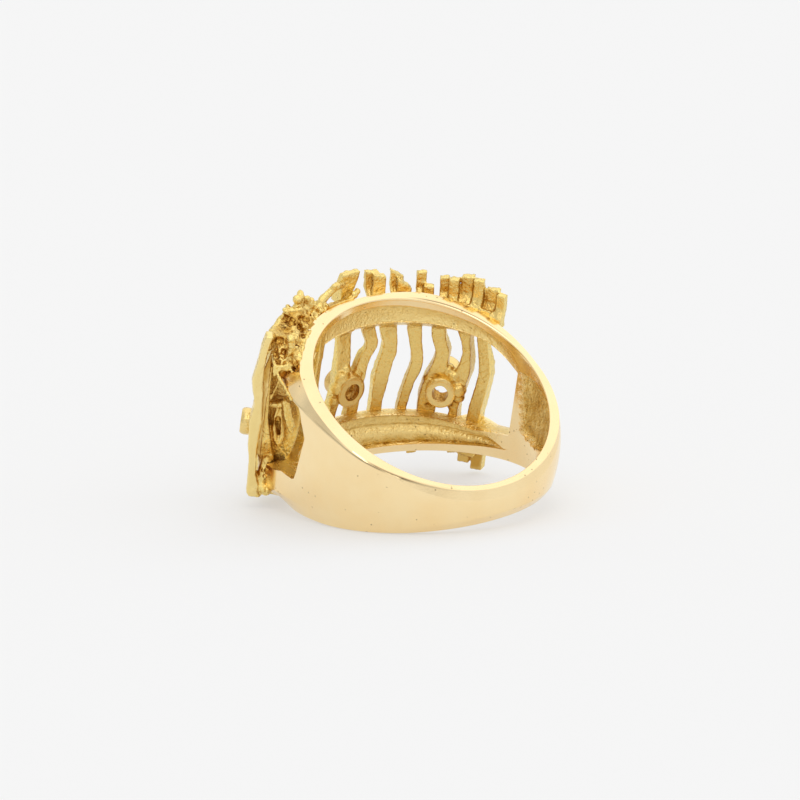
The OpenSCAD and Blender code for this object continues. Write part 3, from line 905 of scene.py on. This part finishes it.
collar = {
    # rough bank of metal along the upper rail, from the front to the left shoulder
    "edge": [  # angle, radius where it starts on the rim
        (2, 9.95), (22, 10.02), (28, 9.84), (32, 9.66), (37, 9.6), (42, 9.7), (48, 9.72), (55, 9.82),
        (61, 10.05)
    ],
    "angles": (2, 60.5),
    "rings": 30,
    "widens": (5, 30),
    "crestRises": (20, 38),
    "crestFalls": (48, 60),
    "crest": 1.3,
    "topAt": 10.2,
    "topDrop": 0.3,
    "cover": (0.1, 0.3),  # at the front, and added where it is wide
    "middleR": (10.4, 0.7),
    "outerR": (10.6, 1.4),
    "base": (4.9, 1.1),
    "baseRises": (53, 60),
    "edgeLean": 0.05,
    "crestShare": 0.6,
    "cornerDrops": (0.15, 0.25, 0.1, 0.5, 0.1)
}
barkMarks = [
    # dents, darkened in colour as painted shade of dark cavities: angle, radius on the ring, height, size,
    # depth, tone, dark line tone
    (48.5, 11.75, 7.45, 1.5, 0.06, 0.75, 0.0),
    (42, 11.5, 7.7, 1.3, 0.06, 0.65, 0.0),
    (37, 10.8, 7.4, 1.2, 0.05, 0.75, 0.0),
    (33.5, 10.0, 6.95, 0.85, 0.03, 0.7, 0.0),
    (60, 10.4, 6.2, 0.85, 0.15, 0.8, 0.0),
    (60, 12.0, 6.5, 0.35, 0.15, 0.6, 0.7),
    (55.3, 11.4, -2.1, 0.9, 0.05, 0.85, 0.0),
    (53, 11.2, 0.2, 0.5, 0.1, 0.5, 0.0),
    (-48, 10.4, -2.5, 0.5, 0.2, 0.9, 0.3),
    (-39.5, 10.4, -3.1, 0.45, 0.15, 0.8, 0.2),
    (5.5, 10.2, -2.3, 0.6, 0.1, 0.8, 0.2)
]
bark = {
    "barR": 10.15,
    "partAt": -12,  # angle between the right and the left piece
    "barSpread": 0.25,  # degrees, makes up for the smoothing
    "barLevels": 61,
    "topReach": 0.55,  # the bars lean in under the upper rail
    "topReachAt": 4.45,
    "topReachSpread": 0.45,
    "holeClear": 9.05,
    "footR": 10.1,
    "footExtra": 0.2,
    "upperFoot": 5.0,
    "lowerFoot": -4.4,
    "tabLean": [(0.0, 0.0), (0.3, 0.0), (0.55, 1.0), (0.8, 1.0), (1.0, 1.0)],  # share of the height, lean
    "sideSteps": 3,
    "stickSides": 8,
    "stickRounding": 2,
    "ballRounding": 3,
    "voxel": 0.085,
    "smoothing": 2,
    "smoothShare": 0.5,
    "clusterVoxel": 0.075,
    "clusterSmoothing": 1,
    "drill": (-44, -1.75, 9.3, 12.6, 0.78),  # angle, height, radii on the ring and radius of the clear bore
    "drillSides": 32,
    "domeRadius": 36.0,
    "domeMiddle": -2.0
}
barkSkin = {
    "lumps": [(0.035, 0.7, 2), (0.016, 0.22, 6)],
    "grooveDepth": 0.096,
    "grooveStretch": (0.55, 0.35, 0.3),  # for angle, height and radius
    "grooveSeed": 4,
    "inwardFrom": -0.3,  # faces that turn to the hole more than this are smoother and darker, with painted shade that deepens towards the feet
    "inwardShare": 0.6,
    "inwardRough": 0.8,
    "inwardTone": 0.45,
    "footTone": 0.5,
    "footHeights": (-3.2, 0.8),
    "paleFrom": 53,  # the outermost bar is smoother and paler
    "paleR": 12.1,
    "paleRough": 0.4,
    "markCore": 0.45,
    "rays": 10,
    "raySeed": 3,
    "rayShortest": 0.1,
    "raySpread": 1.05,
    "rayStart": 0.03,
    "rayReach": 1.6,
    "everyPoint": 3,
    "rounds": 3,
    "leastKnown": 0.001,
    "shelterFrom": 0.15,
    "shelterSpan": 0.5
}


def domeR(outer, z):
    return outer - (z - bark["domeMiddle"]) ** 2 / (2 * bark["domeRadius"])


def addSolid(bm, rings):
    # closed solid through rings of points with the same count
    loops = [[bm.verts.new(point) for point in ring] for ring in rings]
    count = len(loops[0])
    for low, high in zip(loops, loops[1:]):
        for i in range(count):
            j = (i + 1) % count
            bm.faces.new([low[i], low[j], high[j], high[i]])
    bm.faces.new(loops[0][::-1])
    bm.faces.new(loops[-1])


def barRings(row):
    rings = []
    rows = row["rows"]
    top, low = rows[0][0], rows[-1][0]
    inner = row.get("inner", bark["barR"])
    for z in np.linspace(top, low, bark["barLevels"]):
        left = along(rows[::-1], z) + bark["barSpread"]
        right = along(rows[::-1], z, 2) - bark["barSpread"]
        near = inner - bark["topReach"] * math.exp(-((z - bark["topReachAt"]) / bark["topReachSpread"]) ** 2)
        near = max(near, bark["holeClear"])
        outer = domeR(row["outer"], z)
        corners = [(right, near), (left, near), (left, outer), (right, outer)]
        rings.append([polar(angle, r, z) for angle, r in corners])
    return rings


def endRings(row, base):
    # a tab that stands on the rail at its foot and leans out to its own radius at the top
    (leftAngle, leftZ), (rightAngle, rightZ), (leftFoot, rightFoot), inner, outer, *own = row
    base = own[0] if own else base
    foot = min(bark["footR"], inner)
    rings = []
    for t, lean in bark["tabLean"]:
        z1, z2 = base + t * (leftZ - base), base + t * (rightZ - base)
        a1, a2 = leftFoot + t * (leftAngle - leftFoot), rightFoot + t * (rightAngle - rightFoot)
        low = foot + lean * (inner - foot)
        high = low + outer - inner + (1 - lean) * bark["footExtra"]
        rings.append([polar(a2, low, z2), polar(a1, low, z1), polar(a1, high, z1), polar(a2, high, z2)])
    return rings


def sideRings(row):
    rings = []
    path = row["path"]
    for low, high in zip(path, path[1:]):
        for t in np.arange(bark["sideSteps"]) / bark["sideSteps"]:
            rings.append([a + t * (b - a) for a, b in zip(low, high)])
    rings.append(path[-1])
    made = []
    for angle, z, inner, outer in rings:
        half = math.degrees(row["w"] / 2 / outer)
        made.append([
            polar(angle - half, inner, z), polar(angle + half, inner, z),
            polar(angle + half, outer, z), polar(angle - half, outer, z)
        ])
    return made


def addStick(bm, radius, path):
    points = [polar(angle, r, z) for angle, r, z in path]
    rings = []
    for i, point in enumerate(points):
        ahead = (points[min(i + 1, len(points) - 1)] - points[max(i - 1, 0)]).normalized()
        across = ahead.cross(Vector((point.x, point.y, 0)).normalized()).normalized()
        other = ahead.cross(across)
        rings.append([
            point + radius * (math.cos(turn) * across + math.sin(turn) * other)
            for turn in np.linspace(0, 2 * math.pi, bark["stickSides"] + 1)[:-1]
        ])
    addSolid(bm, rings)
    for point in points:
        place = Matrix.Translation(point)
        bmesh.ops.create_icosphere(bm, subdivisions=bark["stickRounding"], radius=radius, matrix=place)


def addBall(bm, angle, z, r, size):
    place = Matrix.Translation(polar(angle, r, z))
    bmesh.ops.create_icosphere(bm, subdivisions=bark["ballRounding"], radius=size, matrix=place)


def makeDrill(angle, z, r1, r2, radius):
    bm = bmesh.new()
    turn = Matrix.Rotation(math.radians(angle), 4, "Z") @ Matrix.Translation(((r1 + r2) / 2, 0, z))
    bmesh.ops.create_cone(
        bm, cap_ends=True, segments=bark["drillSides"], radius1=radius, radius2=radius, depth=r2 - r1,
        matrix=turn @ Matrix.Rotation(math.radians(90), 4, "Y")
    )
    mesh = bpy.data.meshes.new("drill")
    bm.to_mesh(mesh)
    bm.free()
    drill = bpy.data.objects.new("drill", mesh)
    bpy.context.scene.collection.objects.link(drill)
    return drill


def remeshed(bm, name, voxel, smoothing, drill=None):
    bmesh.ops.recalc_face_normals(bm, faces=bm.faces)
    mesh = bpy.data.meshes.new(name)
    bm.to_mesh(mesh)
    bm.free()
    draft = bpy.data.objects.new(name, mesh)
    bpy.context.scene.collection.objects.link(draft)
    remesh = draft.modifiers.new("remesh", "REMESH")
    remesh.mode = "VOXEL"
    remesh.voxel_size = voxel
    if drill:
        bore = draft.modifiers.new("bore", "BOOLEAN")
        bore.operation = "DIFFERENCE"
        bore.solver = "EXACT"
        bore.object = drill
    soften = draft.modifiers.new("soften", "SMOOTH")
    soften.factor = bark["smoothShare"]
    soften.iterations = smoothing
    shape = bpy.data.meshes.new_from_object(draft.evaluated_get(bpy.context.evaluated_depsgraph_get()))
    bpy.data.objects.remove(draft)
    bpy.data.meshes.remove(mesh)
    if drill:
        drillMesh = drill.data
        bpy.data.objects.remove(drill)
        bpy.data.meshes.remove(drillMesh)
    return shape


def sheltered(places, normals, mesh):
    # share of short rays from each point that meet the same piece again
    look = barkSkin
    tree = BVHTree.FromPolygons([tuple(p) for p in places], [tuple(f.vertices) for f in mesh.polygons])
    chance = random.Random(look["raySeed"])
    ways = []
    while len(ways) < look["rays"]:
        way = Vector((chance.uniform(-1, 1), chance.uniform(-1, 1), chance.uniform(-1, 1)))
        if look["rayShortest"] < way.length < 1:
            ways.append(way.normalized())
    share, known = np.zeros(len(places)), np.zeros(len(places))
    for i in range(0, len(places), look["everyPoint"]):
        known[i] = 1
        up = Vector(normals[i])
        start = Vector(places[i]) + up * look["rayStart"]
        for way in ways:
            aim = (way + up * look["raySpread"]).normalized()
            if tree.ray_cast(start, aim, look["rayReach"])[0] is not None:
                share[i] += 1 / look["rays"]
    share, known = (evened(mesh, values, look["rounds"]) for values in (share, known))
    return share / np.maximum(known, look["leastKnown"])


def evened(mesh, values, rounds):
    edges = np.zeros(len(mesh.edges) * 2, dtype=np.int32)
    mesh.edges.foreach_get("vertices", edges)
    a, b = edges[0::2], edges[1::2]
    for _ in range(rounds):
        total, number = values.copy(), np.ones(len(values))
        np.add.at(total, a, values[b])
        np.add.at(total, b, values[a])
        np.add.at(number, a, 1)
        np.add.at(number, b, 1)
        values = total / number
    return values


def barkSurface(mesh):
    look = barkSkin
    count = len(mesh.vertices)
    places, normals = np.zeros(count * 3), np.zeros(count * 3)
    mesh.vertices.foreach_get("co", places)
    mesh.vertices.foreach_get("normal", normals)
    places, normals = places.reshape(-1, 3), normals.reshape(-1, 3)
    rough, inward = np.ones(count), np.zeros(count)
    for i in range(count):
        x, y, z = places[i]
        r = math.hypot(x, y)
        angle = math.degrees(math.atan2(y, x))
        outward = (normals[i][0] * x + normals[i][1] * y) / r
        shape = lumpy((x, y, z), look["lumps"])
        if outward > look["inwardFrom"]:
            place = Vector((angle, z, r)) * Vector(look["grooveStretch"])
            turned = min(1.0, outward - look["inwardFrom"])
            shape += look["grooveDepth"] * turned * grain(place, 1.0, look["grooveSeed"])
        else:
            shape *= look["inwardShare"]
            rough[i] = look["inwardRough"]
            # painted shade on faces turned into the ring, darker towards the lower feet
            low = 1 - float(smoothStep(z, *look["footHeights"]))
            inward[i] = look["inwardTone"] + look["footTone"] * low
        if angle > look["paleFrom"] and r > look["paleR"]:
            rough[i] = look["paleRough"]
        places[i] += normals[i] * shape
    paintedShade, dark = np.zeros(count), np.zeros(count)
    for angle, r, z, size, depth, tone, line in barkMarks:
        away = np.linalg.norm(places - np.array(polar(angle, r, z)), axis=1)
        share = 1 - smoothStep(away, look["markCore"] * size, size)
        places -= normals * (depth * share)[:, None]
        # painted shade at the marks
        paintedShade += tone * share
        dark += line * share
    mesh.vertices.foreach_set("co", places.reshape(-1))
    mesh.update()
    # painted shade: darker where short rays meet the piece again
    hollow = (sheltered(places, normals, mesh) - look["shelterFrom"]) / look["shelterSpan"]
    hollow = np.clip(hollow + inward + paintedShade, 0, 1)
    for name, values in (("castRough", rough), ("hollow", hollow), ("paintedShadeLine", dark)):
        layer = mesh.attributes.new(name, "FLOAT", "POINT")
        layer.data.foreach_set("value", values.astype(np.float32))
    mesh.update()


def crestAt(angle, height):
    rise = float(smoothStep(angle, *collar["crestRises"]))
    return height * rise * (1 - float(smoothStep(angle, *collar["crestFalls"])))


def addGrains(bm):
    chance = random.Random(grains["seed"])
    low, high = grains["radii"]
    kept = [(polar(angle, r, z), size) for angle, r, z, size, *_ in barkMarks[:grains["clearMarks"]]]
    for _ in range(grains["count"]):
        angle = chance.uniform(*grains["angles"])
        t = chance.random()
        r = low + t * (high - low)
        z = rimHeight(r * math.cos(math.radians(angle))) - grains["sink"] - grains["fall"] * t * t
        z += crestAt(angle, grains["crest"]) * t + chance.uniform(*grains["jitter"])
        size = chance.uniform(*grains["size"])
        spot = polar(angle, r, z)
        cleared = any((spot - middle).length < grains["clearShare"] * reach for middle, reach in kept)
        if r > along(collar["edge"], angle) + grains["edgeGap"] and not cleared:
            addBall(bm, angle, z, r, size)


def addCollar(bm):
    look = collar
    edgeDrop, innerDrop, middleDrop, outerDrop, underDrop = look["cornerDrops"]
    rings = []
    for angle in np.linspace(*look["angles"], look["rings"]):
        wide = float(smoothStep(angle, *look["widens"]))
        crest = crestAt(angle, look["crest"])
        top = rimHeight(look["topAt"] * math.cos(math.radians(angle))) - look["topDrop"]
        start = along(look["edge"], angle)
        widened = [look[name] for name in ("cover", "middleR", "outerR")]
        cover, middle, outer = (least + added * wide for least, added in widened)
        base = look["base"][0] + look["base"][1] * float(smoothStep(angle, *look["baseRises"]))
        rings.append([
            polar(angle, start, base),
            polar(angle, start + look["edgeLean"], top + cover - edgeDrop),
            polar(angle, look["middleR"][0], top - innerDrop + cover),
            polar(angle, middle, top + look["crestShare"] * crest - middleDrop),
            polar(angle, outer, top - outerDrop + crest),
            polar(angle, outer, base - underDrop)
        ])
    addSolid(bm, rings)


def buildBark(name, wanted):
    bm = bmesh.new()
    for row in bars:
        _, leftEdge, _ = row["rows"][1]
        if wanted(leftEdge):
            addSolid(bm, barRings(row))
    for ends, base in ((upperEnds, bark["upperFoot"]), (lowerEnds, bark["lowerFoot"])):
        for row in ends:
            if wanted(row[0][0]):
                addSolid(bm, endRings(row, base))
    for angle, z, r, size in solderLumps:
        if wanted(angle):
            addBall(bm, angle, z, r, size)
    for radius, path in cupRods:
        if wanted(path[0][0]):
            addStick(bm, radius, path)
    drill = makeDrill(*bark["drill"]) if wanted(bark["drill"][0]) else None
    mesh = remeshed(bm, name, bark["voxel"], bark["smoothing"], drill)
    barkSurface(mesh)
    print(name + ":", len(mesh.vertices), "points,", len(mesh.polygons), "faces")
    addPiece(name, mesh, barkGold)


def buildCluster():
    bm = bmesh.new()
    for row in sideBars:
        addSolid(bm, sideRings(row))
    for radius, path in sticks:
        addStick(bm, radius, path)
    for angle, z, r, size in barkBalls:
        addBall(bm, angle, z, r, size)
    addCollar(bm)
    addGrains(bm)
    mesh = remeshed(bm, "leftCluster", bark["clusterVoxel"], bark["clusterSmoothing"])
    barkSurface(mesh)
    print("leftCluster:", len(mesh.vertices), "points,", len(mesh.polygons), "faces")
    addPiece("leftCluster", mesh, barkGold)


buildBark("rightBark", lambda angle: angle < bark["partAt"])
buildBark("leftBark", lambda angle: angle >= bark["partAt"])
buildCluster()


# collets: open tubes soldered between the bars

colletShape = {
    "bore": 0.6,
    "outer": 1.1,
    "mouth": 1.22,
    "seat": 1.0,
    "cupFoot": 0.9,
    "seatDepth": 0.7,
    "tall": 1.14,
    "ovalTo": 0.3,  # share of the length from which an inner tube turns round
    "sides": 64,
    "step": 0.12,
    "rough": 0.5,
    "boreRoom": 0.01,
    "boreFrom": 0.15,
    # painted shade inside the bore
    "boreShade": 0.8,
    "lumps": [(0.03, 0.6, 9)],
    "weld": 0.002,
    "sharpAngle": 40,
    "tube": [
        # radius and what is added to it, share of the length and what is added to it
        ("bore", 0, 0, 0), ("bore", 0.05, 0, -0.03), ("foot", -0.12, 0, 0), ("foot", 0, 0, 0.12),
        ("outer", 0, 1, -0.12), ("outer", -0.12, 1, 0), ("bore", 0.05, 1, 0), ("bore", 0, 1, -0.05),
        ("bore", 0, 0, 0)
    ],
    "cup": [
        ("bore", 0, 0, 0), ("bore", 0.06, 0, -0.02), ("foot", -0.1, 0, 0), ("foot", 0, 0, 0.1),
        ("outer", 0.07, 0.42, 0), ("mouth", 0, 1, -0.42), ("mouth", -0.02, 1, -0.24),
        ("mouth", -0.08, 1, -0.1), ("mouth", -0.17, 1, -0.02), ("seat", 0.03, 1, 0), ("seat", 0, 1, -0.04),
        ("seat", 0, 1, -0.7), ("bore", 0, 1, -1.1), ("bore", 0, 0, 0)
    ]
}
colletLook = dict(
    barkLook,
    colour=(0.93, 0.73, 0.34),
    warm=(0.88, 0.64, 0.24),
    cast=(0.86, 0.63, 0.22),
    deep=(0.58, 0.31, 0.05)
)
colletGold = makeGold("colletGold", colletLook)
collets = [
    # profile, whether it opens into the ring, angle, height, radii of its two ends on the ring, size, tone
    ("tube", True, -44, -1.5, (9.42, 10.75), 1.04, 0.15),
    ("cup", False, -44, -1.6, (12.2, 13.7), 1.0, 0.1),
    ("cup", True, -1, -1.2, (9.42, 11.7), 1.08, 0.6),
    ("cup", False, 50, -0.5, (12.1, 13.8), 0.85, 0.1)
]


def colletProfile(kind, inner, length):
    # closed outline of the wall, as radius and height, in short steps
    shape = colletShape
    foot = shape["outer" if inner else "cupFoot"]
    corners = [
        ((foot if name == "foot" else shape[name]) + wider, share * length + higher)
        for name, wider, share, higher in shape[kind]
    ]
    profile = []
    for (r1, h1), (r2, h2) in zip(corners, corners[1:]):
        steps = max(1, int(math.hypot(r2 - r1, h2 - h1) / shape["step"]))
        profile += [(r1 + t * (r2 - r1), h1 + t * (h2 - h1)) for t in np.linspace(0, 1, steps + 1)[:-1]]
    return profile + [corners[-1]]


def buildCollets():
    skin = Skin()
    look = colletShape
    for kind, inner, angle, z, (start, end), size, tone in collets:
        length = end - start
        seat = length - look["seatDepth"] if kind == "cup" else length
        profile = colletProfile(kind, inner, length)
        place = Matrix.Rotation(math.radians(angle), 4, "Z") @ Matrix.Translation((start, 0, z))
        columns = []
        for turn in np.linspace(0, 2 * math.pi, look["sides"] + 1):
            outward = Vector((0, math.cos(turn), math.sin(turn)))
            column = []
            for r, h in profile:
                wide = tall = size
                if inner:
                    oval = 1 - float(smoothStep(h, look["ovalTo"] * length, seat))
                    wide, tall = 1 + oval * (size - 1), 1 + oval * (size * look["tall"] - 1)
                spot = Vector((h, r * outward.y * wide, r * outward.z * tall))
                spot += outward * lumpy(spot + Vector((angle, 0, 0)), look["lumps"])
                inBore = r < look["bore"] + look["boreRoom"] and look["boreFrom"] < h < seat
                # the bore gets painted shade
                column.append((place @ spot, look["rough"], look["boreShade"] if inBore else tone))
            columns.append(column)
        skin.grid(columns)
    mesh = skin.mesh("collets", look["weld"])
    print("collets:", len(mesh.polygons), "faces")
    addPiece("collets", mesh, colletGold, look["sharpAngle"])


buildCollets()


# floor, light and camera

stageLook = {
    "floorSize": 3.0,
    "floorTone": 0.43,
    "floorGlow": 0.445,  # keeps the shadows as faint as on a lit table
    "horizonTone": 0.62,
    "softBoxes": [
        # side the light comes from, cosines where it fades in, added tone
        ((0, 0, 1), (0.02, 0.35), 0.33),
        ((-0.5, 0.1, 0.86), (0.45, 0.85), 0.25),
        ((0.75, -0.2, 0.63), (0.75, 0.95), -0.22),
        ((0.35, 0.55, 0.76), (0.93, 0.985), 1.3)
    ]
}


def buildStage():
    half = stageLook["floorSize"] / 2
    mesh = bpy.data.meshes.new("floor")
    corners = [(-half, -half, 0), (half, -half, 0), (half, half, 0), (-half, half, 0)]
    mesh.from_pydata(corners, [], [(0, 1, 2, 3)])
    floor = bpy.data.objects.new("floor", mesh)
    bpy.context.scene.collection.objects.link(floor)
    paper = bpy.data.materials.new("palePaper")
    paper.use_nodes = True
    shader = paper.node_tree.nodes["Principled BSDF"]
    tone = stageLook["floorTone"]
    shader.inputs["Base Color"].default_value = (tone, tone, tone, 1)
    shader.inputs["Roughness"].default_value = 1.0
    shader.inputs["Specular IOR Level"].default_value = 0.0
    shader.inputs["Emission Color"].default_value = (1, 1, 1, 1)
    shader.inputs["Emission Strength"].default_value = stageLook["floorGlow"]
    mesh.materials.append(paper)


def spreadNode(tree, direction, side, low, high):
    # 0 to 1 as a direction comes near the given side
    dot = tree.nodes.new("ShaderNodeVectorMath")
    dot.operation = "DOT_PRODUCT"
    tree.links.new(direction, dot.inputs[0])
    dot.inputs[1].default_value = Vector(side).normalized()
    return rangeNode(tree, dot.outputs["Value"], low, high)


def buildWorld():
    world = bpy.data.worlds.new("studio")
    bpy.context.scene.world = world
    world.use_nodes = True
    tree = world.node_tree
    background = tree.nodes["Background"]
    direction = tree.nodes.new("ShaderNodeTexCoord").outputs["Generated"]
    tone = stageLook["horizonTone"]
    for side, spread, added in stageLook["softBoxes"]:
        tone = mathNode(tree, "MULTIPLY_ADD", spreadNode(tree, direction, side, *spread), added, tone)
    tree.links.new(tone, background.inputs["Strength"])
    background.inputs["Color"].default_value = (1, 1, 1, 1)


photoView = {
    # the camera's axes in the ring's frame
    "right": (-0.583, -0.804, 0.118),
    "up": (0.484, -0.228, 0.845),
    "forward": (0.652, -0.550, -0.522),
    "distance": 400.0,  # mm
    "pixelsPerMm": 13.40,
    "holeAt": (424.9, 439.9),  # pixels
    "frameWidth": 800,
    "sensor": 36.0,
    "clip": (0.01, 20.0)  # metres
}


def buildCamera():
    view = photoView
    data = bpy.data.cameras.new("camera")
    focal = view["pixelsPerMm"] * view["distance"]
    data.sensor_width = view["sensor"]
    data.sensor_fit = "HORIZONTAL"
    data.lens = data.sensor_width * focal / view["frameWidth"]
    data.clip_start, data.clip_end = view["clip"]
    camera = bpy.data.objects.new("camera", data)
    bpy.context.scene.collection.objects.link(camera)
    turn = lyingTurn.to_3x3()
    right, up, forward = (turn @ Vector(view[axis]).normalized() for axis in ("right", "up", "forward"))
    forward.normalize()
    right = (right - right.dot(forward) * forward).normalized()
    up = right.cross(forward)
    axes = Matrix((right, up, -forward)).transposed().to_4x4()
    middle = view["frameWidth"] / 2
    yaw = math.atan((view["holeAt"][0] - middle) / focal)
    pitch = math.atan((view["holeAt"][1] - middle) / focal)
    place = Matrix.Translation(holeCentre - forward * view["distance"] * millimetre)
    camera.matrix_world = place @ axes @ Matrix.Rotation(yaw, 4, "Y") @ Matrix.Rotation(pitch, 4, "X")
    bpy.context.scene.camera = camera
    print("camera height over the floor:", round(camera.matrix_world.translation.z, 4))


buildStage()
buildWorld()
buildCamera()
bpy.context.scene.view_settings.view_transform = "Standard"
